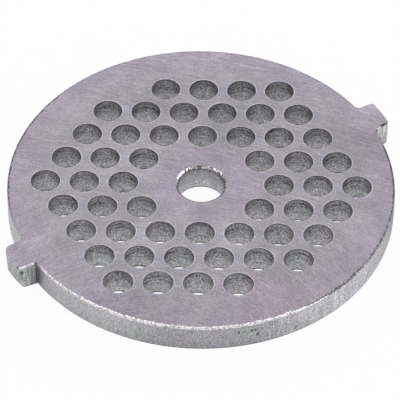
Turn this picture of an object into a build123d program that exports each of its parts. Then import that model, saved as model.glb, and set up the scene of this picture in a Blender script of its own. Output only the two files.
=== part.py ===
"""Meat grinder plate: a flat perforated steel disc with a centre bore and two locating tabs.

Millimetres. The origin is on the bore's axis in the back face. +Z points to the knife face,
and the tabs lie on the X axis.
"""

import math
import os

from build123d import *

# Disc
plate_diameter = 53.5  # over the rim, without the tabs
plate_thickness = 4.05  # between the two ground faces
edge_break = 0.15  # chamfer round the outer edge of both faces

# Centre bore, in which the end of the feed screw turns
bore_diameter = 6.2
bore_chamfer = 0.45  # lead-in at both ends of the bore

# Grinding holes, on a triangular lattice centred on the bore
hole_diameter = 4.0
hole_web = 1.37  # metal left between two neighbouring holes
hub_diameter = 14.5  # solid middle that no hole cuts into
rim_land = 3.2  # least metal between a hole and the rim

# Tabs, which stop the plate turning in the grinder's head
tab_reach = 2.7  # how far the tip stands out of the rim
tab_root_width = 5.1  # where the flanks meet the rim
tab_tip_width = 4.3  # between the flanks at the tip
tab_corner_radius = 0.4  # outer corners of the tip
tab_root_radius = 0.3  # inner corners at the rim

plate_radius = plate_diameter / 2
bore_radius = bore_diameter / 2
hole_radius = hole_diameter / 2
hole_pitch = hole_diameter + hole_web
tab_radius = plate_radius + tab_reach
on_axis = 1e-6  # a point nearer to an axis than this lies on it


def radius_of(point):
    """Distance of a vertex or vector from the bore's axis."""
    return math.hypot(point.X, point.Y)


def lattice_points(reach):
    """Points of the triangular lattice that lie within reach of the bore's axis.

    The two lattice directions lean 30 degrees each side of the X axis, so that one row of
    holes runs along Y.
    """
    row_step = hole_pitch * math.cos(math.radians(30))
    half_pitch = hole_pitch / 2
    count = math.ceil(2 * reach / hole_pitch)
    steps = range(-count, count + 1)
    points = [Vector((i + j) * row_step, (j - i) * half_pitch) for i in steps for j in steps]
    return [point for point in points if point.length <= reach]


def hole_centres():
    """Centres of the grinding holes.

    The holes fill the ring between the hub and the rim land. The outermost place at each
    end of the Y axis, midway between the tabs, is left solid.
    """
    nearest = hub_diameter / 2 + hole_radius
    farthest = plate_radius - rim_land - hole_radius
    centres = [point for point in lattice_points(farthest) if point.length >= nearest]
    on_cross_axis = [point for point in centres if abs(point.X) < on_axis]
    blank_radius = max(point.length for point in on_cross_axis)
    return [
        point
        for point in centres
        if abs(point.X) > on_axis or point.length < blank_radius - on_axis
    ]


def tab_outline():
    """Flat outline of the tab at +X: straight tapered flanks and a tip concentric with the rim.

    The flanks carry on into the disc by as much as they reach out of it.
    """
    inner_width = 2 * tab_root_width - tab_tip_width
    corners = [
        (plate_radius - tab_reach, -inner_width / 2),
        (tab_radius, -tab_tip_width / 2),
        (tab_radius, tab_tip_width / 2),
        (plate_radius - tab_reach, inner_width / 2),
    ]
    return Polygon(*corners, align=None) & Circle(tab_radius)


def blank_outline():
    """Outline of the blank: the disc and its two tabs, with rounded tab corners."""
    tab = tab_outline()
    outline = Circle(plate_radius) + tab + Rot(0, 0, 180) * tab
    midway = plate_radius + tab_reach / 2
    root_corners = [corner for corner in outline.vertices() if radius_of(corner) < midway]
    outline = fillet(root_corners, tab_root_radius)
    tip_corners = [corner for corner in outline.vertices() if radius_of(corner) > midway]
    return fillet(tip_corners, tab_corner_radius)


def grinder_plate():
    """The blank, pierced, with its bore and outer edges chamfered."""
    openings = Circle(bore_radius) + [
        Pos(centre.X, centre.Y) * Circle(hole_radius) for centre in hole_centres()
    ]
    plate = extrude(blank_outline() - openings, amount=plate_thickness)
    bore_wall = min(
        plate.faces().filter_by(GeomType.CYLINDER),
        key=lambda wall: radius_of(wall.center(CenterOf.BOUNDING_BOX)),
    )
    plate = chamfer(bore_wall.edges().filter_by(GeomType.CIRCLE), bore_chamfer)
    faces = plate.faces().filter_by(Axis.Z).sort_by(Axis.Z)
    outer_edges = faces[0].outer_wire().edges() + faces[-1].outer_wire().edges()
    return chamfer(outer_edges, edge_break)


def main():
    os.makedirs("parts", exist_ok=True)
    export_step(grinder_plate(), "parts/grinder_plate.step")


main()
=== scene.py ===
"""A meat grinder plate: a ground steel disc pierced with holes, with two locating tabs.

The plate is modelled to its frame part, whose place in the model it takes. Lengths are
metres. The materials measure in millimetres, and so do the values that only they use.
"""

import math
from collections import namedtuple

import bmesh
import bpy
from bpy.props import (
    FloatProperty,
    FloatVectorProperty,
    IntProperty,
    PointerProperty,
)
from mathutils import Matrix, Vector


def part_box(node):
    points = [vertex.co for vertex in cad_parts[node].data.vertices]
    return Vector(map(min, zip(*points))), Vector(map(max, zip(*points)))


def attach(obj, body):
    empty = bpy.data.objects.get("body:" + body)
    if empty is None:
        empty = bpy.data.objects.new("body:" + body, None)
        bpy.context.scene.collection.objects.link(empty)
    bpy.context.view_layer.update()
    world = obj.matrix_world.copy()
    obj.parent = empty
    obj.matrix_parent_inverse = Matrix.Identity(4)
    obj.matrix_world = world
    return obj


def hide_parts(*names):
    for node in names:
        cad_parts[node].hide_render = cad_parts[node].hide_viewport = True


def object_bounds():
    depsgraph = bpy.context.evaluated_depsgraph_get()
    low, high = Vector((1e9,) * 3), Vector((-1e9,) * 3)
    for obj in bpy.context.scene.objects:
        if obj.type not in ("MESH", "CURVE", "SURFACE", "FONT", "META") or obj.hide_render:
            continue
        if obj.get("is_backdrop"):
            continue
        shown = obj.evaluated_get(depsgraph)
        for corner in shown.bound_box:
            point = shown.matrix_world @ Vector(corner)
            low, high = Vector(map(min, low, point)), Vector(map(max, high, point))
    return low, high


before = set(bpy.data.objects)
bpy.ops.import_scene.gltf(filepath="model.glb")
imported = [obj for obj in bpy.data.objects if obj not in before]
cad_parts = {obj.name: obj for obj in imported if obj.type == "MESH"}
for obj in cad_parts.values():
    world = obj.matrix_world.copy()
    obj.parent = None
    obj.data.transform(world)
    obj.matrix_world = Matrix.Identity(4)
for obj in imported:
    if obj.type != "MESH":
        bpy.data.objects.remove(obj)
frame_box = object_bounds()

bl_info = {
    "name": "Grinder Plate",
    "version": (1, 0, 0),
    "blender": (4, 5, 0),
    "location": "View3D > Sidebar > Grinder Plate",
    "description": "Models and finishes a ground steel grinder plate on its frame part",
    "category": "Object",
}

NODE = "grinder_plate"
BODY = "root"
MM = 0.001
NEAR = 0.01 * MM  # two places closer than this are the same place

# The frame part's box, then its thickness, and in millimetres its rim radius and top face
NODE_LOW, NODE_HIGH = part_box(NODE)
THICKNESS = NODE_HIGH.z - NODE_LOW.z
RIM = NODE_HIGH.y / MM
TOP = NODE_HIGH.z / MM

LIP_SLOPE = 0.08  # fall of the sloping ring round a hole, for each unit of its width
COURSE_GAP = 0.02 * MM  # from the chamfers to the first and last level course of the walls
FLOOR_GAP = 0.02 * MM  # keeps the floor from falling on the plate's back face

# One tab: the sign of its end of the X axis, its edges across Y where it leaves the rim
# and at its end face, its reach from the axis, and the radii of its four upright corners.
# Both tabs came out of the press a little out of true, each in its own way.
TabShape = namedtuple(
    "TabShape",
    "side root_low root_high tip_low tip_high reach"
    " tip_low_radius tip_high_radius root_low_radius root_high_radius",
)
LEFT_TAB = TabShape(
    side=-1,
    root_low=-2.6 * MM,
    root_high=2.4 * MM,
    tip_low=-2.45 * MM,
    tip_high=2.2 * MM,
    reach=29.4 * MM,
    tip_low_radius=0.35 * MM,
    tip_high_radius=0.85 * MM,
    root_low_radius=0.12 * MM,
    root_high_radius=0.3 * MM,
)
RIGHT_TAB = TabShape(
    side=1,
    root_low=-2.5 * MM,
    root_high=2.45 * MM,
    tip_low=-1.85 * MM,
    tip_high=2.6 * MM,
    reach=29.25 * MM,
    tip_low_radius=0.2 * MM,
    tip_high_radius=0.5 * MM,
    root_low_radius=0.2 * MM,
    root_high_radius=0.6 * MM,
)

# The foot of the left tab's end is drawn in, more at the low flank than at the high one
DRAFT_TURN = -5.0  # degrees, with the sign that transform.rotate takes when it has no window
DRAFT_PULL = 0.2 * MM
DRAFT_START = 28.0 * MM  # the end is what lies farther out than this


# Selection and edit mode


def deselect_all():
    bpy.ops.object.select_all(action="DESELECT")


def make_active(obj):
    """Selects just this object and makes it the active one."""
    deselect_all()
    obj.select_set(True)
    bpy.context.view_layer.objects.active = obj


def place_in_mesh(obj):
    """Moves the object's place into its mesh, so that the object sits at the origin."""
    make_active(obj)
    bpy.ops.object.transform_apply(location=True, rotation=True, scale=True)


def select(obj, kind, wanted):
    """Enters edit mode with just the elements of one kind for which wanted is true."""
    bpy.ops.object.mode_set(mode="EDIT")
    bpy.ops.mesh.select_mode(type=kind)
    bpy.ops.mesh.select_all(action="DESELECT")
    mesh = bmesh.from_edit_mesh(obj.data)
    elements = {"VERT": mesh.verts, "EDGE": mesh.edges, "FACE": mesh.faces}
    for element in elements[kind]:
        if wanted(element):
            element.select_set(True)
    bmesh.update_edit_mesh(obj.data)


def leave_edit_mode():
    bpy.ops.object.mode_set(mode="OBJECT")


def radius_at(point):
    """Distance from the bore's axis."""
    return math.hypot(point.x, point.y)


# The plate's form


def hole_centres(sizes):
    """Centres of the grinding holes: a triangular lattice between the hub and the rim land.

    The outermost place at each end of the Y axis is left solid.
    """
    pitch = sizes.hole_pitch
    row_step = pitch * math.cos(math.radians(30))
    nearest = sizes.hub_diameter / 2 + sizes.hole_diameter / 2
    farthest = NODE_HIGH.y - sizes.rim_land - sizes.hole_diameter / 2
    count = math.ceil(2 * farthest / pitch)
    steps = range(-count, count + 1)
    points = [Vector(((i + j) * row_step, (j - i) * pitch / 2)) for i in steps for j in steps]
    centres = [point for point in points if nearest <= point.length <= farthest]
    blank_reach = max(point.length for point in centres if abs(point.x) < NEAR) - NEAR
    return [point for point in centres if abs(point.x) > NEAR or point.length < blank_reach]


def add_disc(sizes):
    """The round blank, at its full thickness."""
    deselect_all()
    bpy.ops.mesh.primitive_cylinder_add(
        vertices=sizes.rim_segments,
        radius=NODE_HIGH.y,
        depth=THICKNESS,
        end_fill_type="NGON",
        location=(0, 0, NODE_LOW.z + THICKNESS / 2),
    )
    plate = bpy.context.object
    plate.name = "ground_plate"
    place_in_mesh(plate)
    return plate


def draw_out_tabs(plate):
    """Extrudes the rim at both ends of the X axis and shapes each tab."""

    def at_tab(face):
        centre = face.calc_center_median()
        tab = LEFT_TAB if centre.x < 0 else RIGHT_TAB
        return abs(face.normal.z) < 0.5 and tab.root_low < centre.y < tab.root_high

    select(plate, "FACE", at_tab)
    bpy.ops.mesh.extrude_region_move()
    reach = NODE_HIGH.x / NODE_HIGH.y
    bpy.ops.transform.resize(value=(reach, reach, 1), center_override=(0, 0, 0))
    bpy.ops.mesh.select_all(action="SELECT")
    bpy.ops.mesh.dissolve_limited(angle_limit=math.radians(0.1))
    leave_edit_mode()
    for tab in (LEFT_TAB, RIGHT_TAB):
        shape_tip(plate, tab)
        for end in ("tip", "root"):
            for flank in ("low", "high"):
                round_corner(plate, tab, end, flank)
    draft_tip(plate)


def shape_tip(plate, tab):
    """Brings a tab's end face to its own width and reach."""
    halfway = (NODE_HIGH.x + NODE_HIGH.y) / 2

    def at_tip(face):
        centre = face.calc_center_median()
        outside = radius_at(centre) > halfway
        return outside and centre.x * tab.side > 0 and face.normal.x * tab.side > 0.5

    select(plate, "FACE", at_tip)
    mesh = bmesh.from_edit_mesh(plate.data)
    places = [vertex.co.y for vertex in mesh.verts if vertex.select]
    low, high = min(places), max(places)
    spread = (tab.tip_high - tab.tip_low) / (high - low)
    reach = tab.reach / NODE_HIGH.x
    bpy.ops.transform.resize(value=(reach, spread, 1), center_override=(0, 0, 0))
    bpy.ops.transform.translate(value=(0, tab.tip_low - low * spread, 0))
    leave_edit_mode()


def draft_tip(plate):
    """Draws in the foot of the left tab's end."""

    def at_foot(vertex):
        return vertex.co.z < NODE_LOW.z + NEAR and vertex.co.x < -DRAFT_START

    select(plate, "VERT", at_foot)
    bpy.ops.transform.rotate(
        value=math.radians(DRAFT_TURN),
        orient_axis="Z",
        center_override=(-LEFT_TAB.reach, LEFT_TAB.tip_high, NODE_LOW.z),
    )
    bpy.ops.transform.translate(value=(DRAFT_PULL, 0, 0))
    leave_edit_mode()


def round_corner(plate, tab, end, flank):
    """Rounds one upright corner of a tab, over the facets within its reach."""
    radius = getattr(tab, f"{end}_{flank}_radius")
    sign = 1 if flank == "high" else -1

    def upright(edge):
        start, stop = (vertex.co for vertex in edge.verts)
        return abs(start.z - stop.z) > THICKNESS / 2

    def plan_place(edge):
        return edge.verts[0].co.to_2d()

    mesh = bmesh.new()
    mesh.from_mesh(plate.data)
    corners = [
        plan_place(edge)
        for edge in mesh.edges
        if upright(edge) and edge.calc_face_angle(0) > math.radians(30)
    ]
    mesh.free()
    own = [corner for corner in corners if corner.x * tab.side > 0 and corner.y * sign > 0]
    pick = max if end == "tip" else min
    corner = pick(own, key=lambda place: place.length)

    def within(edge, low, high):
        return upright(edge) and low < (plan_place(edge) - corner).length < high

    select(plate, "EDGE", lambda edge: within(edge, NEAR, radius))
    bpy.ops.mesh.dissolve_edges(use_verts=True)
    leave_edit_mode()
    select(plate, "EDGE", lambda edge: within(edge, -1, NEAR))
    bpy.ops.mesh.bevel(offset=radius, segments=5, affect="EDGES")
    leave_edit_mode()


def copy_mesh_at(obj, offset):
    """A copy of the object with its own mesh, moved by offset within that mesh."""
    twin = obj.copy()
    twin.data = obj.data.copy()
    twin.data.transform(Matrix.Translation(offset))
    bpy.context.collection.objects.link(twin)
    return twin


def add_punch(radius, segments, lip=0.0, taper=0.0):
    """A round tool on the plate's axis, which flares where it meets the top face.

    The taper is how much less its radius is at the back face.
    """
    shoulder = NODE_HIGH.z - LIP_SLOPE * lip
    deselect_all()
    bpy.ops.mesh.primitive_cone_add(
        vertices=segments,
        radius1=radius - 2 * taper,
        radius2=radius,
        depth=2 * THICKNESS,
        end_fill_type="NGON",
        location=(0, 0, shoulder - THICKNESS),
    )
    punch = bpy.context.object
    place_in_mesh(punch)
    flare = 1 + 2 * lip / radius
    select(punch, "FACE", lambda face: face.normal.z > 0.9)
    bpy.ops.mesh.extrude_region_move()
    bpy.ops.transform.resize(value=(flare, flare, 1), center_override=(0, 0, 0))
    bpy.ops.transform.translate(value=(0, 0, 2 * LIP_SLOPE * lip))
    bpy.ops.mesh.extrude_region_move()
    bpy.ops.transform.translate(value=(0, 0, THICKNESS))
    leave_edit_mode()
    return punch


def pierce(plate, sizes):
    """Cuts the bore and the grinding holes through the disc."""
    bore_punch = add_punch(sizes.bore_diameter / 2, sizes.bore_segments)
    hole_punch = add_punch(
        sizes.hole_diameter / 2, sizes.hole_segments, sizes.lip_width, sizes.hole_taper
    )
    punches = [copy_mesh_at(hole_punch, (*centre, 0)) for centre in hole_centres(sizes)]
    bpy.data.objects.remove(hole_punch)
    make_active(bore_punch)
    for punch in punches:
        punch.select_set(True)
    bpy.ops.object.join()
    make_active(plate)
    cut = plate.modifiers.new("pierce", "BOOLEAN")
    cut.operation = "DIFFERENCE"
    cut.solver = "EXACT"
    cut.object = bore_punch
    bpy.ops.object.modifier_apply(modifier=cut.name)
    bpy.data.objects.remove(bore_punch)


def break_edges(plate, sizes):
    """Bevels the mouths of the holes, the ends of the bore and the outer edge."""
    bore_limit = sizes.bore_diameter / 2 + NEAR
    field_limit = NODE_HIGH.y - sizes.rim_land / 2

    def face_edge(edge, low, high):
        start, end = (vertex.co for vertex in edge.verts)
        level = abs(start.z - end.z) < NEAR
        inside = low <= min(radius_at(start), radius_at(end)) <= high
        return level and inside and edge.calc_face_angle(0) > math.radians(60)

    rings = [
        (bore_limit, field_limit, sizes.hole_break, 2),
        (0, bore_limit, sizes.bore_chamfer, 4),
        (field_limit, math.inf, sizes.edge_break, 3),
    ]
    for low, high, width, segments in rings:
        select(plate, "EDGE", lambda edge: face_edge(edge, low, high))
        bpy.ops.mesh.bevel(offset=width, segments=segments, affect="EDGES")
        leave_edit_mode()


def course_walls(plate, sizes):
    """Cuts level courses round every wall, for the tool marks to bend."""
    low = NODE_LOW.z + sizes.bore_chamfer + COURSE_GAP
    high = NODE_HIGH.z - sizes.bore_chamfer - COURSE_GAP
    step = (high - low) / (sizes.wall_courses - 1)
    for course in range(sizes.wall_courses):
        bpy.ops.object.mode_set(mode="EDIT")
        bpy.ops.mesh.select_all(action="SELECT")
        bpy.ops.mesh.bisect(plane_co=(0, 0, low + course * step), plane_no=(0, 0, 1))
        leave_edit_mode()


# The plate's surface

# Zones that are shaded flat, and whose vertices stay where they are
FLAT_ZONES = ("ground_face", "hole_lip")

# Least Z part of the normals of the ground faces, the sloping rings round the holes and the
# bevels
FACE_RISE = 0.9999
LIP_RISE = 0.99
BEVEL_RISE = 0.18


def zone_of(face, sizes):
    """The name of the surface that a face belongs to, which is a key of MATERIALS."""
    centre = face.center
    reach = radius_at(centre)
    in_hub = reach < sizes.hub_diameter / 2 - sizes.hole_diameter / 4
    at_rim = reach > NODE_HIGH.y - sizes.rim_land / 2
    if abs(face.normal.z) > FACE_RISE:
        return "ground_face"
    if face.normal.z > LIP_RISE:
        return "hole_lip"
    bevelled = abs(face.normal.z) > BEVEL_RISE
    if bevelled and centre.z < NODE_LOW.z + THICKNESS / 2:
        return "under_edge"
    if in_hub:
        return "bore_edge" if bevelled else "bore_wall"
    if at_rim:
        return "rim_edge" if bevelled else "rim_wall"
    return "hole_edge" if bevelled else "hole_wall"


def sort_zones(plate, sizes):
    """Gives each zone its material, and a group of the vertices that no flat zone shares."""
    zones = list(MATERIALS)
    groups = {zone: set() for zone in zones}
    for finish in MATERIALS.values():
        plate.data.materials.append(finish())
    for face in plate.data.polygons:
        zone = zone_of(face, sizes)
        face.material_index = zones.index(zone)
        face.use_smooth = zone not in FLAT_ZONES
        groups[zone].update(face.vertices)
    flat = set().union(*(groups[zone] for zone in FLAT_ZONES))
    for zone in zones:
        if zone not in FLAT_ZONES:
            group = plate.vertex_groups.new(name=zone)
            group.add(sorted(groups[zone] - flat), 1.0, "REPLACE")


def roughen(plate, zone, strength, texture, stretch):
    """Pushes a zone's vertices in along their normals, by a noise stretched along the axes.

    stretch is the size of the noise along each axis, in millimetres.
    """
    guide = bpy.data.objects.new("guide", None)
    guide.scale = [length * MM for length in stretch]
    bpy.context.collection.objects.link(guide)
    bpy.context.view_layer.update()
    make_active(plate)
    push = plate.modifiers.new("roughen", "DISPLACE")
    push.vertex_group = zone
    push.texture = texture
    push.texture_coords = "OBJECT"
    push.texture_coords_object = guide
    push.mid_level = 1.0
    push.strength = strength
    bpy.ops.object.modifier_apply(modifier=push.name)
    bpy.data.objects.remove(guide)


def cloud(name, depth):
    """A noise whose size comes from the guide that it is laid on."""
    texture = bpy.data.textures.new(name, "CLOUDS")
    texture.noise_scale = 1.0
    texture.noise_depth = depth
    return texture


def flatten_beyond(plate, level, side):
    """Brings what stands out past one ground face back to its plane."""
    select(plate, "VERT", lambda vertex: (vertex.co.z - level) * side > 0)
    bpy.ops.transform.resize(value=(1, 1, 0), center_override=(0, 0, level))
    leave_edit_mode()


def wear(plate):
    """Tool steps in the holes, press marks on the rim and ragged burrs on the edges."""
    steps = cloud("steps", 1)
    grain = cloud("grain", 2)
    roughen(plate, "hole_wall", 0.09 * MM, steps, (6, 6, 0.5))
    roughen(plate, "hole_wall", 0.03 * MM, grain, (0.5, 0.5, 0.4))
    roughen(plate, "rim_wall", 0.03 * MM, grain, (0.35, 0.35, 3))
    roughen(plate, "rim_edge", 0.06 * MM, grain, (0.4, 0.4, 0.4))
    roughen(plate, "bore_edge", 0.1 * MM, grain, (0.45, 0.45, 0.45))
    flatten_beyond(plate, NODE_HIGH.z, 1)
    flatten_beyond(plate, NODE_LOW.z, -1)


# Shader building


class Nodes:
    """Adds and links nodes in one tree."""

    def __init__(self, owner):
        owner.use_nodes = True
        self.tree = owner.node_tree

    def node(self, kind, *inputs, **settings):
        """A node with its first inputs linked or set, in order."""
        made = self.tree.nodes.new(kind)
        for name, value in settings.items():
            setattr(made, name, value)
        for socket, value in zip(made.inputs, inputs):
            self.feed(socket, value)
        return made

    def feed(self, socket, value):
        """Links the socket to another one, or sets its value."""
        if isinstance(value, bpy.types.NodeSocket):
            self.tree.links.new(value, socket)
        elif value is not None:
            socket.default_value = value

    def maths(self, operation, *values):
        return self.node("ShaderNodeMath", *values, operation=operation).outputs[0]

    def mix(self, kind, factor, first, second):
        """The first where the factor is 0 and the second where it is 1."""
        node = self.node("ShaderNodeMix", data_type=kind)
        ends = [socket for socket in node.inputs if socket.enabled]
        for socket, value in zip(ends, (factor, first, second)):
            self.feed(socket, value)
        return next(socket for socket in node.outputs if socket.enabled)


class Shader(Nodes):
    """The nodes of one material of the plate. Places and distances are in millimetres."""

    def __init__(self, name):
        self.material = bpy.data.materials.new(name)
        super().__init__(self.material)
        self.surface = self.tree.nodes["Principled BSDF"]
        place = self.node("ShaderNodeTexCoord").outputs["Object"]
        self.place = self.stretch(place, (1 / MM, 1 / MM, 1 / MM))

    def stretch(self, vector, scale, offset=(0, 0, 0)):
        node = self.node("ShaderNodeMapping", vector)
        node.inputs["Scale"].default_value = scale
        node.inputs["Location"].default_value = offset
        return node.outputs[0]

    def shifted(self, offset):
        """The place moved by an offset, so that its noise differs."""
        return self.stretch(self.place, (1, 1, 1), offset)

    def noise(self, vector, scale, detail=2.0, roughness=0.5):
        node = self.node("ShaderNodeTexNoise", vector)
        node.inputs["Scale"].default_value = scale
        node.inputs["Detail"].default_value = detail
        node.inputs["Roughness"].default_value = roughness
        return node.outputs["Fac"]

    def between(self, value, low, high, out_low=0.0, out_high=1.0):
        """The value as it goes from low to high, mapped to out_low to out_high."""
        node = self.node("ShaderNodeMapRange", value, low, high, out_low, out_high)
        return node.outputs[0]

    def swing(self, noise, low, high):
        """A noise, which mostly lies between 0.3 and 0.7, spread from low to high."""
        return self.between(noise, 0.3, 0.7, low, high)

    def inside(self, share, factor):
        """The factor where the share is 1, and 1 where the share is 0."""
        return self.between(share, 0, 1, 1.0, factor)

    def blend(self, factor, first, second):
        return self.mix("RGBA", factor, first, second)

    def shade(self, colour, factor):
        """The colour with its brightness multiplied by a factor."""
        node = self.node("ShaderNodeVectorMath", colour, operation="SCALE")
        self.feed(node.inputs["Scale"], factor)
        return node.outputs[0]

    def add(self, *values):
        """All the values added together."""
        result = values[0]
        for value in values[1:]:
            result = self.maths("ADD", result, value)
        return result

    def product(self, *values):
        """All the values multiplied together."""
        result = values[0]
        for value in values[1:]:
            result = self.maths("MULTIPLY", result, value)
        return result

    def most(self, *values):
        """The greatest of the values."""
        result = values[0]
        for value in values[1:]:
            result = self.maths("MAXIMUM", result, value)
        return result

    def measure(self, operation, *vectors):
        """A length, distance or dot product of vectors."""
        node = self.node("ShaderNodeVectorMath", *vectors, operation=operation)
        return node.outputs["Value"]

    def split(self, vector):
        return self.node("ShaderNodeSeparateXYZ", vector).outputs[:3]

    def parts(self):
        """X, Y and Z of the place."""
        return self.split(self.place)

    def flat(self):
        """The place brought down to the back face."""
        node = self.node("ShaderNodeVectorMath", self.place, (1, 1, 0), operation="MULTIPLY")
        return node.outputs[0]

    def reach(self):
        """Distance from the bore's axis."""
        return self.measure("LENGTH", self.flat())

    def away_from(self, point):
        return self.measure("DISTANCE", self.place, point)

    def away_from_upright(self, x, y):
        """Distance from an upright line."""
        return self.measure("DISTANCE", self.flat(), (x, y, 0))

    def bump(self, height, distance):
        """A surface that stands out by the distance, in metres, where the height is 1."""
        node = self.node("ShaderNodeBump")
        node.inputs["Distance"].default_value = distance
        self.feed(node.inputs["Height"], height)
        return node.outputs[0]

    def finish(self, colour, roughness, normal=None):
        """The material, made bare metal of this colour and roughness."""
        self.feed(self.surface.inputs["Base Color"], colour)
        self.feed(self.surface.inputs["Roughness"], roughness)
        self.feed(self.surface.inputs["Metallic"], 1.0)
        self.feed(self.surface.inputs["Normal"], normal)
        return self.material


def grinding_marks(shader, centre, across, along, seed):
    """Streaks that run in arcs round a far centre, in the plane of the face.

    across and along are how many streaks there are to a millimetre each way.
    """
    offset = shader.node(
        "ShaderNodeVectorMath", shader.flat(), (*centre, 0), operation="SUBTRACT"
    ).outputs[0]
    x, y, _ = shader.split(offset)
    turn = shader.maths("ARCTAN2", y, x)
    arc = shader.product(turn, math.hypot(*centre) * along)
    ring = shader.product(shader.measure("LENGTH", offset), across)
    return shader.node("ShaderNodeCombineXYZ", ring, arc, seed).outputs[0]


def sector(shader, start, end, soft=6.0, ragged=0.0):
    """1 between two directions round the plate's axis, in degrees, and 0 elsewhere.

    soft is how many degrees it fades over at each end, and ragged how much the ends wander.
    """
    middle, half = math.radians(start + end) / 2, math.radians(end - start) / 2
    unit = shader.node("ShaderNodeVectorMath", shader.flat(), operation="NORMALIZE").outputs[0]
    facing = shader.measure("DOT_PRODUCT", unit, (math.cos(middle), math.sin(middle), 0))
    if ragged:
        wander = shader.noise(shader.place, 0.9, 3.0)
        facing = shader.add(facing, shader.swing(wander, -ragged, ragged))
    fade = math.radians(soft)
    return shader.between(facing, math.cos(half + fade), math.cos(max(half - fade, 0)))


def streaks(shader, centre, seed):
    """Fine and wide grinding marks of one family of arcs, as a value round 0.5."""
    wide = grinding_marks(shader, centre, across=2.2, along=0.2, seed=seed)
    fine = grinding_marks(shader, centre, across=6.0, along=0.5, seed=seed + 2.45)
    return shader.add(
        shader.product(shader.noise(wide, 1.0, 3.0, 0.65), 0.32),
        shader.product(shader.noise(fine, 1.0, 2.0, 0.75), 0.68),
    )


# Old stains and brushed spots of the ground face, and last a painted sheen on the right tab:
# X, Y and radius, and the factor by which each changes the brightness.
SPOTS = (
    (-20, -17, 9, 0.86),
    (2, 17, 7, 0.9),
    (-18, 18, 9, 0.93),
    (8, 8, 8, 0.9),
    (23, -4, 9, 0.89),
    (-6, 9, 8, 1.1),
    (-12, -6, 8, 1.13),
    (-2, -12, 8, 1.1),
    (15, -18, 8, 1.07),
    (13, 19, 7, 1.08),
    # a painted sheen on the right tab
    (28.0, 1.2, 3, 1.22),
)


def spot(shader, x, y, radius):
    """1 at the middle of a ragged round spot, falling to 0 at its radius."""
    wander = shader.swing(shader.noise(shader.place, 0.25, 3.0), -3, 3)
    away = shader.add(shader.away_from_upright(x, y), wander)
    node = shader.node("ShaderNodeMapRange", away, radius, 0.0, 0.0, 1.0)
    node.interpolation_type = "SMOOTHSTEP"
    return node.outputs[0]


CROSSWAYS = (0.5, 0.866, 0)  # direction across the plate, 60 degrees from the tabs' axis


def crossways(shader):
    """How far a place lies from the middle of the plate in the crossways direction."""
    return shader.measure("DOT_PRODUCT", shader.place, CROSSWAYS)


def scratches(shader, centre, seed):
    """Sparse long scratches of one family of arcs, brighter than the marks round them."""
    line = grinding_marks(shader, centre, across=5.0, along=0.14, seed=seed)
    return shader.between(shader.noise(line, 1.0, 1.0), 0.62, 0.7, 1.0, 1.18)


# Centres of the two families of grinding arcs
LOW_ARCS = (-22.5, -28.0)
LONG_ARCS = (-150.0, -140.0)


def ground_tint(shader):
    """Soft, faintly coloured patches, greyer between the holes and rosy by the rim."""
    looks = bpy.context.scene.grinder_finish
    patch = shader.noise(shader.place, 0.14, 5.0, 0.68)
    other = shader.noise(shader.shifted((40, 10, 0)), 0.22, 5.0, 0.68)
    reach = shader.reach()
    field = shader.product(
        shader.between(reach, 6.5, 9.0), shader.between(reach, 24.5, 21.0), 0.8
    )
    colour = shader.blend(shader.between(patch, 0.38, 0.62), looks.cool_tint, looks.warm_tint)
    colour = shader.blend(shader.between(other, 0.45, 0.65), colour, looks.grey_tint)
    colour = shader.blend(field, colour, looks.web_tint)
    return shader.blend(spot(shader, -2, -25, 11), colour, looks.rosy_tint)


def ground_colour(shader):
    """Two families of grinding arcs over the tint, with painted light a little brighter
    crossways, and the height of their marks.
    """
    far = crossways(shader)
    border = shader.add(far, shader.product(shader.noise(shader.place, 0.12), 30.0))
    share = shader.between(border, 5.0, 15.0)
    marks = shader.mix(
        "FLOAT", share, streaks(shader, LOW_ARCS, 5.3), streaks(shader, LONG_ARCS, 11.6)
    )
    lines = shader.mix(
        "FLOAT", share, scratches(shader, LOW_ARCS, 2.2), scratches(shader, LONG_ARCS, 8.7)
    )
    grain = shader.noise(shader.place, 5.5, 2.0, 0.7)
    cloudy = shader.noise(shader.shifted((-30, 70, 0)), 0.3)
    bright = shader.product(
        shader.swing(marks, 0.79, 1.21),
        shader.swing(grain, 0.74, 1.26),
        shader.swing(cloudy, 0.92, 1.08),
        # painted light: a little brighter along the crossways direction
        shader.between(far, -25.0, 25.0, 0.94, 1.07),
        lines,
        *(shader.inside(spot(shader, x, y, radius), left) for x, y, radius, left in SPOTS),
    )
    return shader.shade(ground_tint(shader), bright), marks


LIP_HIGHLIGHT = 1.4  # painted highlight: how much brighter the ring round a hole is than the face round it
MARK_DEPTH = 0.002 * MM  # of the grinding marks, in metres
GROUND_ROUGHNESS = 0.45
CUT_ROUGHNESS = 0.4


def ground_face():
    """Surface-ground steel, with the rim burr's painted glint and shade along its edge."""
    shader = Shader("ground_face")
    colour, marks = ground_colour(shader)
    colour, _ = edge_burr_glint_and_shade(shader, colour)
    return shader.finish(colour, GROUND_ROUGHNESS, shader.bump(marks, MARK_DEPTH))


def hole_lip():
    """The sloping ring round a hole: the ground face with a painted highlight."""
    shader = Shader("hole_lip")
    colour, marks = ground_colour(shader)
    # painted highlight on the ring round the hole
    colour = shader.shade(colour, LIP_HIGHLIGHT)
    return shader.finish(colour, GROUND_ROUGHNESS, shader.bump(marks, MARK_DEPTH))


# How cut steel leans in colour from patch to patch, as factors of red, green and blue
WARM = (1.03, 0.99, 1.0)
COOL = (0.97, 1.01, 1.0)
VIOLET = (1.03, 0.97, 1.05)
GREEN = (0.97, 1.03, 0.96)


def leaning(colour, lean):
    """The colour with its parts multiplied by a lean."""
    return (*(part * factor for part, factor in zip(colour, lean)), 1)


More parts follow.
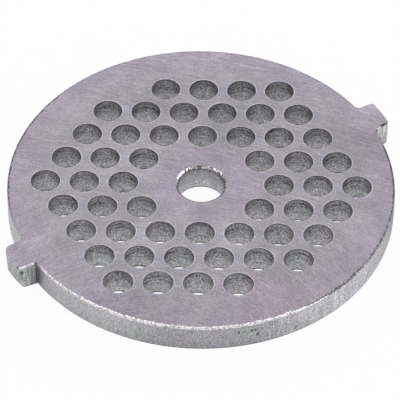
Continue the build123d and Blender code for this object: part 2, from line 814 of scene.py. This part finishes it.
def mottled(shader, colour, grain_size, depths, stretch):
    """Cut steel: a speckle, a coarser mottle and tool marks stretched along the cut.

    depths are how far each of the three takes the brightness up and down.
    """
    speckle = shader.noise(shader.place, grain_size, 2.0, 0.8)
    mottle = shader.noise(shader.place, grain_size * 0.3, 3.0, 0.6)
    marks = shader.noise(shader.stretch(shader.place, stretch), 1.0, 3.0, 0.6)
    layers = zip((speckle, mottle, marks), depths)
    bright = shader.product(
        *(shader.between(layer, 0.28, 0.72, 1 - depth, 1 + depth) for layer, depth in layers)
    )
    tint = shader.between(shader.noise(shader.shifted((9, 3, 5)), 1.3, 3.0), 0.35, 0.65)
    broad = shader.between(shader.noise(shader.shifted((-7, 20, 5)), 0.3, 2.0), 0.38, 0.62)
    base = shader.blend(tint, leaning(colour, WARM), leaning(colour, COOL))
    other = shader.blend(broad, leaning(colour, VIOLET), leaning(colour, GREEN))
    return shader.shade(shader.blend(0.6, base, other), bright), speckle, marks


def rim_painted_light(shader):
    """Painted light and shade on the blanked rim: lighter on the right and left stretches and
    on the right tab, darker at the right end, on the far side and at the left tab's tip, with
    a painted shadow round the notch and a thin dark line in its corner.

    The notch is the inner corner where the left tab meets the rim.
    """
    x, _, _ = shader.parts()
    on_rim = shader.between(shader.reach(), RIM + 0.1, RIM)
    notch = shader.away_from_upright(-26.7, -2.55)
    # painted light and shade: each factor lightens or darkens a stretch of the rim
    right = shader.inside(sector(shader, -90, -58, 9.0, 0.03), 1.42)
    right_end = shader.inside(sector(shader, -36, -10, 6.0), 0.76)
    left = shader.inside(sector(shader, 140, 222, 9.0, 0.04), 1.3)
    far_side = shader.inside(shader.product(sector(shader, -42, 140, 5.0), on_rim), 0.5)
    right_tab = shader.between(x, 26.9, 27.1, 1.0, 1.25)
    left_tip = shader.between(x, -29.0, -28.8, 0.84, 1.0)
    shadow = shader.between(notch, 0.2, 1.9, 0.55, 1.0)
    corner_line = shader.between(notch, 0.08, 0.18, 0.5, 1.0)
    return shader.product(
        right, right_end, left, far_side, right_tab, left_tip, shadow, corner_line
    )


# Small dark nicks in the corners of the tabs and pits in the rim: X, Y, Z and radius
NICKS = (
    (-28.95, -2.45, 3.1, 0.45),
    (-29.3, -2.0, 3.75, 0.3),
    (26.75, -2.45, 3.9, 0.25),
    (28.6, -2.2, 0.2, 0.3),
    (-6.6, -25.95, 2.85, 0.28),
    (-6.1, -26.05, 2.8, 0.28),
    (-5.8, -26.1, 1.9, 0.3),
    (-8.4, -25.4, 2.8, 0.26),
    (-0.3, -26.75, 0.9, 0.25),
)


def rim_steel(shader):
    """Blanked steel: upright press marks, pits and nicks, under the rim's painted light and
    shade.
    """
    looks = bpy.context.scene.grinder_finish
    colour, speckle, marks = mottled(
        shader,
        looks.wall_tint,
        grain_size=5.2,
        depths=(0.62, 0.05, 0.06),
        stretch=(4.6, 4.6, 0.25),
    )
    pits = shader.between(shader.noise(shader.place, 1.7, 1.0), 0.7, 0.76, 1.0, 0.5)
    scored = shader.most(
        shader.product(sector(shader, -100, -66, 6.0, 0.06), 0.24),
        shader.between(shader.reach(), RIM, RIM + 0.2, 0.0, 0.42),
    )
    scores = shader.product(shader.between(marks, 0.32, 0.68, -1, 1), scored)
    # the rim's painted light and shade, with its pits and scores
    tone = shader.product(rim_painted_light(shader), pits, shader.add(1.0, scores))
    wander = shader.swing(shader.noise(shader.place, 4.0), -0.15, 0.15)
    for *place, radius in NICKS:
        away = shader.add(shader.away_from(place), wander)
        tone = shader.product(tone, shader.between(away, radius * 0.6, radius, 0.3, 1.0))
    return shader.shade(colour, tone), speckle, marks


def rim_wall():
    """Blanked steel under the burr, with the burr's painted glint and shade."""
    shader = Shader("rim_wall")
    colour, speckle, marks = rim_steel(shader)
    colour, _ = edge_burr_glint_and_shade(shader, colour)
    relief = shader.bump(shader.add(speckle, marks), 0.02 * MM)
    return shader.finish(colour, GROUND_ROUGHNESS, relief)


SHADOW_VIOLET = (0.14, 0.115, 0.15, 1)  # colour of the holes' walls near the top


def hole_wall():
    """Drilled steel with level steps that the drill left, under painted shade: darkest at the
    mouth, lighter down the wall and towards the low end of the crossways direction, and darker
    just above the back face.
    """
    looks = bpy.context.scene.grinder_finish
    shader = Shader("hole_wall")
    colour, speckle, marks = mottled(
        shader,
        looks.hole_tint,
        grain_size=5.0,
        depths=(0.85, 0.2, 0.14),
        stretch=(0.25, 0.25, 3.4),
    )
    _, _, height = shader.parts()
    far = crossways(shader)
    upper = shader.between(height, TOP - 2.6, TOP - 1.2, 0.35, 1.0)
    ledges = shader.product(shader.between(marks, 0.36, 0.46, -0.45, 0.1), upper)
    speck = shader.noise(shader.place, 4.6, 1.0)
    specks = shader.product(shader.between(speck, 0.37, 0.45, -0.7, 0.0), upper)
    worn = shader.add(1.0, ledges, specks)
    # painted shade: darkest at the mouth, the more so towards the high end of the crossways
    # direction, then a little darker below it and lighter down the wall
    mouth_darkest = shader.between(far, -20, 0, 0.75, 0.45)
    mouth = shader.between(height, TOP - 0.12, TOP - 0.3, mouth_darkest, 1.0)
    fall = shader.between(height, TOP - 0.5, TOP - 1.0, 1.0, 0.8)
    depth = shader.between(height, TOP - 1.0, TOP - 3.2, 1.0, 1.3)
    # darker just above the back face
    darker_at_back = shader.between(height, 0.1, 0.35, 0.75, 1.0)
    # painted light: lighter towards the low end of the crossways direction
    across = shader.between(far, -20, 20, 1.12, 0.84)
    tone = shader.product(mouth, fall, depth, darker_at_back, across, worn, 1.12)
    violet = shader.between(height, TOP - 1.0, TOP - 0.3, 0.0, 0.3)
    colour = shader.blend(violet, shader.shade(colour, tone), SHADOW_VIOLET)
    relief = shader.bump(shader.add(speckle, marks), 0.03 * MM)
    return shader.finish(colour, CUT_ROUGHNESS, relief)


def bore_wall():
    """Reamed steel, brighter than the holes, with scattered specks, under painted shade that
    is darkest at the mouth and lighter down the wall.
    """
    looks = bpy.context.scene.grinder_finish
    shader = Shader("bore_wall")
    colour, speckle, _ = mottled(
        shader,
        looks.hole_tint,
        grain_size=5.0,
        depths=(0.3, 0.15, 0.1),
        stretch=(0.5, 0.5, 1.5),
    )
    _, _, height = shader.parts()
    # painted shade: darkest at the mouth, lighter down the wall
    mouth = shader.between(height, TOP - 0.4, TOP - 0.6, 0.4, 1.0)
    depth = shader.between(height, TOP - 0.6, 1.0, 0.72, 1.15)
    specks = shader.between(shader.noise(shader.place, 3.5, 1.0), 0.6, 0.68, 1.0, 1.7)
    colour = shader.shade(colour, shader.product(mouth, depth, specks))
    return shader.finish(colour, CUT_ROUGHNESS, shader.bump(speckle, 0.01 * MM))


# colour of the painted shade along the rim's edge
EDGE_SHADE = (0.11, 0.105, 0.12, 1)
SPLIT_EDGE = (0.03, 0.03, 0.035, 1)
BURR_HEIGHT = 0.05 * MM  # of the beads, in metres


def burr(shader, cell, low, high, dark, light):
    """Beads of burr with dark gaps, and the noise that makes them stand out; bright beads are
    a painted glint.

    Where the noise is under low there is a gap, and where it is over high a bead.
    """
    bead = shader.noise(shader.place, cell, 2.0, 0.65)
    share = shader.between(bead, low, high)
    colour = shader.blend(share, (dark, dark, dark * 1.02, 1), (light, light * 0.96, light, 1))
    return colour, bead


def tab_glint_and_split(shader):
    """Where the front edges of the tabs carry a painted glint on the left tab and a dark split
    on the right one.
    """
    x, y, z = shader.parts()
    high = shader.between(z, TOP - 0.22, TOP - 0.14)
    # painted glint on the top of the left tab's front flank
    left_tab_glint = shader.product(
        high, shader.between(x, -26.9, -27.1), shader.between(y, -2.12, -2.25)
    )
    split = shader.product(
        high, shader.between(x, 27.6, 27.8), shader.between(y, -1.82, -1.9)
    )
    return left_tab_glint, split


def rim_burr_glint_and_shade(shader):
    """Where burr lies on the rim's edge, with a painted glint on the stretch from the left tab
    round the front, and painted shade along most of the rest.

    The painted glint hangs lower on the wall towards the left tab, and thins out at its other
    end. inward is over 0 on the face inside the edge, and under 0 on the wall below it.
    """
    _, y, z = shader.parts()
    reach = shader.reach()
    inward = shader.maths("SUBTRACT", RIM - TOP, shader.maths("SUBTRACT", reach, z))
    ragged = shader.swing(shader.noise(shader.place, 2.4, 2.0, 0.6), -0.13, 0.13)
    along = shader.add(inward, ragged)
    on_rim = shader.product(
        shader.between(reach, RIM + 0.1, RIM + 0.03),
        shader.between(shader.maths("ABSOLUTE", y), 2.55, 2.7),
        shader.between(z, TOP - 1.2, TOP - 1.0),
    )
    end = sector(shader, -190, -160, 8.0)
    thin = shader.inside(sector(shader, -88, -70, 4.0), 0.25)
    inner = shader.product(shader.between(end, 0, 1, 0.44, 0.12), thin)
    outer = shader.between(end, 0, 1, -0.2, -0.42)
    # painted glint on the burr, on the stretch from the left tab round the front
    bright = shader.product(
        shader.between(shader.maths("SUBTRACT", inner, along), 0, 0.06),
        shader.between(shader.maths("SUBTRACT", along, outer), 0, 0.06),
        sector(shader, -176, -80, 3.0, 0.05),
        on_rim,
    )
    faint = shader.product(sector(shader, 8, 112, 8.0), 0.3)
    # painted shade along the edge on the other stretches
    dark_side = shader.most(
        sector(shader, -88, -12, 3.0, 0.05), sector(shader, 108, 164, 10.0, 0.02), faint
    )
    gaps = shader.between(shader.noise(shader.place, 2.0, 2.0, 0.6), 0.36, 0.48, 0.35, 1.0)
    dark = shader.product(
        shader.between(along, 0.34, 0.26),
        shader.between(along, -0.14, -0.08),
        dark_side,
        on_rim,
        gaps,
    )
    return bright, dark


def edge_burr_glint_and_shade(shader, colour):
    """Rolls the burr of the rim and the tabs over the colour beside it: bright beads as a
    painted glint, and a dark line as painted shade.

    It gives the noise of the beads too, for a bump.
    """
    bright, dark = rim_burr_glint_and_shade(shader)
    left_tab_glint, split = tab_glint_and_split(shader)
    beads, bead = burr(shader, cell=3.4, low=0.42, high=0.52, dark=0.5, light=1.0)
    # painted shade along the edge
    colour = shader.blend(dark, colour, EDGE_SHADE)
    colour = shader.blend(split, colour, SPLIT_EDGE)
    # painted glint on the burr beads, on the rim and the left tab
    return shader.blend(shader.most(bright, left_tab_glint), colour, beads), bead


def rim_edge():
    """The edge itself, its steel a quarter darker, with the burr that hangs on it and the
    burr's painted glint and shade.
    """
    shader = Shader("rim_edge")
    steel, _, _ = rim_steel(shader)
    colour, bead = edge_burr_glint_and_shade(shader, shader.shade(steel, 0.75))
    return shader.finish(colour, CUT_ROUGHNESS, shader.bump(bead, BURR_HEIGHT))


def bore_edge():
    """Ragged beads on the bore's mouth: a painted glint on two stretches, and dark elsewhere.
    """
    shader = Shader("bore_edge")
    beads, bead = burr(shader, cell=3.8, low=0.44, high=0.53, dark=0.13, light=0.9)
    dull, _ = burr(shader, cell=3.6, low=0.4, high=0.6, dark=0.07, light=0.33)
    # painted glint on two stretches of the mouth
    bright = shader.most(sector(shader, 76, 136, 5.0, 0.12), sector(shader, 2, 48, 5.0, 0.12))
    colour = shader.blend(bright, dull, beads)
    return shader.finish(colour, 0.35, shader.bump(bead, BURR_HEIGHT))


def shaded_edge(name, shade):
    """A bevel painted dark as shade, with some grain."""
    shader = Shader(name)
    grain = shader.noise(shader.place, 3.0, 2.0, 0.6)
    colour = shader.shade((shade, shade, shade), shader.swing(grain, 0.6, 1.4))
    return shader.finish(colour, CUT_ROUGHNESS)


# the bevels at the mouths of the holes, painted dark as shade
def hole_edge():
    return shaded_edge("hole_edge", 0.09)


# the bevels at the back face, painted dark as shadow
def under_edge():
    return shaded_edge("under_edge", 0.1)


MATERIALS = {
    "ground_face": ground_face,
    "hole_lip": hole_lip,
    "rim_wall": rim_wall,
    "rim_edge": rim_edge,
    "hole_wall": hole_wall,
    "hole_edge": hole_edge,
    "bore_wall": bore_wall,
    "bore_edge": bore_edge,
    "under_edge": under_edge,
}


# Stage

FLOOR_GREY = (0.85, 0.85, 0.85, 1)
WHITE = (1, 1, 1, 1)
FLOOR_SIZE = 6.0
LAMP_DISTANCE = 2.0
LAMP_SIZE = 2.0


def add_floor(stage):
    """A plain white floor that keeps a soft shadow under the plate."""
    deselect_all()
    bpy.ops.mesh.primitive_plane_add(size=FLOOR_SIZE, location=(0, 0, NODE_LOW.z - FLOOR_GAP))
    floor = bpy.context.object
    floor.name = "floor"
    place_in_mesh(floor)
    material = bpy.data.materials.new("floor")
    nodes = Nodes(material)
    nodes.tree.nodes.clear()
    rays = nodes.node("ShaderNodeLightPath").outputs
    to_camera = nodes.maths("MULTIPLY", rays["Is Camera Ray"], stage.floor_glow)
    to_metal = nodes.maths("MULTIPLY", rays["Is Glossy Ray"], stage.floor_sheen)
    share = nodes.maths("MAXIMUM", to_camera, to_metal)
    plain = nodes.node("ShaderNodeBsdfDiffuse", FLOOR_GREY).outputs[0]
    glow = nodes.node("ShaderNodeEmission", WHITE, 1.0).outputs[0]
    surface = nodes.node("ShaderNodeMixShader", share, plain, glow).outputs[0]
    nodes.node("ShaderNodeOutputMaterial", surface)
    floor.data.materials.append(material)
    floor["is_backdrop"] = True


def add_world(stage):
    """Even light from all round, which the camera sees as plain white."""
    world = bpy.data.worlds.new("studio")
    bpy.context.scene.world = world
    nodes = Nodes(world)
    to_camera = nodes.node("ShaderNodeLightPath").outputs["Is Camera Ray"]
    sky = nodes.tree.nodes["Background"]
    nodes.feed(sky.inputs["Color"], WHITE)
    nodes.feed(sky.inputs["Strength"], nodes.mix("FLOAT", to_camera, stage.sky_strength, 1.0))


def towards(azimuth, elevation):
    """Direction from the plate to a place seen at these angles, in degrees."""
    turn, lift = math.radians(azimuth), math.radians(elevation)
    out = math.cos(lift)
    return Vector((math.sin(turn) * out, -math.cos(turn) * out, math.sin(lift)))


def add_softbox(name, azimuth, elevation, power):
    """A large square lamp, aimed at the plate."""
    back = towards(azimuth, elevation)
    data = bpy.data.lights.new(name, "AREA")
    data.size = LAMP_SIZE
    data.energy = power
    lamp = bpy.data.objects.new(name, data)
    bpy.context.collection.objects.link(lamp)
    lamp.location = back * LAMP_DISTANCE
    lamp.rotation_mode = "QUATERNION"
    lamp.rotation_quaternion = back.to_track_quat("Z", "Y")


def add_camera(stage):
    """A long lens looking down at the plate, with a slight lean."""
    back = towards(stage.view_azimuth, stage.view_elevation)
    data = bpy.data.cameras.new("camera")
    data.sensor_width = 36
    data.lens = stage.lens
    data.clip_start = 0.01
    data.clip_end = 20
    camera = bpy.data.objects.new("camera", data)
    bpy.context.collection.objects.link(camera)
    camera.location = Vector(stage.view_aim) + back * stage.view_distance
    camera.rotation_mode = "QUATERNION"
    lean = Matrix.Rotation(math.radians(stage.view_lean), 3, "Z").to_quaternion()
    camera.rotation_quaternion = back.to_track_quat("Z", "Y") @ lean
    bpy.context.scene.camera = camera


# Panel properties


class GrinderSizes(bpy.types.PropertyGroup):
    """Sizes of the plate. The outline and thickness come from the frame part."""

    hole_diameter: FloatProperty(
        name="Hole diameter",
        description="Width of a grinding hole",
        default=4.0 * MM,
        unit="LENGTH",
    )
    hole_pitch: FloatProperty(
        name="Hole pitch",
        description="From one hole's centre to the next",
        default=5.37 * MM,
        unit="LENGTH",
    )
    hub_diameter: FloatProperty(
        name="Hub diameter",
        description="Solid middle that no hole cuts",
        default=14.5 * MM,
        unit="LENGTH",
    )
    rim_land: FloatProperty(
        name="Rim land",
        description="Least metal between hole and rim",
        default=3.2 * MM,
        unit="LENGTH",
    )
    bore_diameter: FloatProperty(
        name="Bore diameter",
        description="Width of the centre bore",
        default=6.35 * MM,
        unit="LENGTH",
    )
    bore_chamfer: FloatProperty(
        name="Bore chamfer",
        description="Lead-in at both ends of the bore",
        default=0.38 * MM,
        unit="LENGTH",
    )
    edge_break: FloatProperty(
        name="Edge break",
        description="Bevel of the outer edge",
        default=0.15 * MM,
        unit="LENGTH",
    )
    hole_break: FloatProperty(
        name="Hole break",
        description="Bevel of a hole's mouth",
        default=0.06 * MM,
        unit="LENGTH",
    )
    hole_taper: FloatProperty(
        name="Hole taper",
        description="How much less a hole's radius is at the back",
        default=0.08 * MM,
        unit="LENGTH",
    )
    lip_width: FloatProperty(
        name="Lip width",
        description="Brighter ring round a hole",
        default=0.18 * MM,
        unit="LENGTH",
    )
    rim_segments: IntProperty(
        name="Rim segments",
        description="Flats round the rim",
        default=720,
        min=180,
    )
    bore_segments: IntProperty(
        name="Bore segments",
        description="Flats round the bore",
        default=128,
        min=32,
    )
    hole_segments: IntProperty(
        name="Hole segments",
        description="Flats round a grinding hole",
        default=64,
        min=16,
    )
    wall_courses: IntProperty(
        name="Wall courses",
        description="Level rings of faces up a wall",
        default=12,
        min=2,
    )


class GrinderFinish(bpy.types.PropertyGroup):
    """Colours of the steel."""

    cool_tint: FloatVectorProperty(
        name="Cool tint",
        description="Bluish patches of the ground face",
        subtype="COLOR",
        size=4,
        default=(0.386, 0.361, 0.431, 1),
    )
    warm_tint: FloatVectorProperty(
        name="Warm tint",
        description="Rosy patches of the ground face",
        subtype="COLOR",
        size=4,
        default=(0.413, 0.36, 0.428, 1),
    )
    grey_tint: FloatVectorProperty(
        name="Grey tint",
        description="Neutral patches of the ground face",
        subtype="COLOR",
        size=4,
        default=(0.403, 0.378, 0.422, 1),
    )
    web_tint: FloatVectorProperty(
        name="Web tint",
        description="Ground face between the holes",
        subtype="COLOR",
        size=4,
        default=(0.39, 0.373, 0.413, 1),
    )
    rosy_tint: FloatVectorProperty(
        name="Rosy tint",
        description="Heat-tinted spot by the rim",
        subtype="COLOR",
        size=4,
        default=(0.425, 0.354, 0.427, 1),
    )
    wall_tint: FloatVectorProperty(
        name="Rim tint",
        description="Blanked rim and tab flanks",
        subtype="COLOR",
        size=4,
        default=(0.414, 0.411, 0.429, 1),
    )
    hole_tint: FloatVectorProperty(
        name="Hole tint",
        description="Walls of the holes and the bore",
        subtype="COLOR",
        size=4,
        default=(0.52, 0.517, 0.542, 1),
    )


class GrinderStage(bpy.types.PropertyGroup):
    """Camera and light."""

    view_azimuth: FloatProperty(
        name="View azimuth",
        description="Degrees round the plate, 0 looks along +Y",
        default=-29.334,
    )
    view_elevation: FloatProperty(
        name="View elevation",
        description="Degrees above the floor",
        default=46.03,
    )
    view_lean: FloatProperty(
        name="View lean",
        description="Degrees the camera leans to one side",
        default=0.69,
    )
    view_distance: FloatProperty(
        name="View distance",
        description="From the aim to the lens",
        default=0.42786,
        unit="LENGTH",
    )
    view_aim: FloatVectorProperty(
        name="View aim",
        description="Point that the camera looks at",
        size=3,
        subtype="XYZ",
        default=(-0.68 * MM, -0.95 * MM, 2.025 * MM),
        unit="LENGTH",
    )
    lens: FloatProperty(
        name="Lens",
        description="Focal length in millimetres",
        default=278.9,
    )
    sky_strength: FloatProperty(
        name="Sky strength",
        description="Light from all round",
        default=0.6,
    )
    right_power: FloatProperty(
        name="Right box",
        description="Power of the softbox on the right, in watts",
        default=34.0,
    )
    left_power: FloatProperty(
        name="Left box",
        description="Power of the softbox on the left, in watts",
        default=17.0,
    )
    floor_glow: FloatProperty(
        name="Floor glow",
        description="How far the floor is lit evenly white to the camera",
        default=0.95,
    )
    floor_sheen: FloatProperty(
        name="Floor sheen",
        description="How far the floor is lit evenly white in reflections",
        default=0.43,
    )


# Operators, panel and registration


class MESH_OT_grinder_plate(bpy.types.Operator):
    """Models the plate and gives it its finish"""

    bl_idname = "mesh.grinder_plate"
    bl_label = "Grinder Plate"

    def execute(self, context):
        sizes = context.scene.grinder_sizes
        plate = add_disc(sizes)
        draw_out_tabs(plate)
        pierce(plate, sizes)
        break_edges(plate, sizes)
        course_walls(plate, sizes)
        sort_zones(plate, sizes)
        wear(plate)
        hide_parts(NODE)
        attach(plate, BODY)
        return {"FINISHED"}


class SCENE_OT_grinder_stage(bpy.types.Operator):
    """Sets up the floor, the light and the camera"""

    bl_idname = "scene.grinder_stage"
    bl_label = "Stage"

    def execute(self, context):
        stage = context.scene.grinder_stage
        add_floor(stage)
        add_world(stage)
        add_softbox("right_box", azimuth=82, elevation=32, power=stage.right_power)
        add_softbox("left_box", azimuth=-155, elevation=42, power=stage.left_power)
        add_camera(stage)
        context.scene.view_settings.view_transform = "Standard"
        return {"FINISHED"}


class VIEW3D_PT_grinder_plate(bpy.types.Panel):
    """Lists the steps and their settings"""

    bl_label = "Grinder Plate"
    bl_space_type = "VIEW_3D"
    bl_region_type = "UI"
    bl_category = "Grinder Plate"

    def draw(self, context):
        layout = self.layout
        scene = context.scene
        for group in (scene.grinder_sizes, scene.grinder_finish, scene.grinder_stage):
            box = layout.box()
            for name in group.__annotations__:
                box.prop(group, name)
        layout.operator(MESH_OT_grinder_plate.bl_idname)
        layout.operator(SCENE_OT_grinder_stage.bl_idname)


CLASSES = (
    GrinderSizes,
    GrinderFinish,
    GrinderStage,
    MESH_OT_grinder_plate,
    SCENE_OT_grinder_stage,
    VIEW3D_PT_grinder_plate,
)


def register():
    for cls in CLASSES:
        bpy.utils.register_class(cls)
    bpy.types.Scene.grinder_sizes = PointerProperty(type=GrinderSizes)
    bpy.types.Scene.grinder_finish = PointerProperty(type=GrinderFinish)
    bpy.types.Scene.grinder_stage = PointerProperty(type=GrinderStage)


def unregister():
    del bpy.types.Scene.grinder_stage
    del bpy.types.Scene.grinder_finish
    del bpy.types.Scene.grinder_sizes
    for cls in reversed(CLASSES):
        bpy.utils.unregister_class(cls)


def main():
    register()
    bpy.ops.mesh.grinder_plate()
    bpy.ops.scene.grinder_stage()
    boxes = {"cad": frame_box, "visual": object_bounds()}
    {name: [list(corner) for corner in box] for name, box in boxes.items()}


if __name__ == "__main__":
    main()
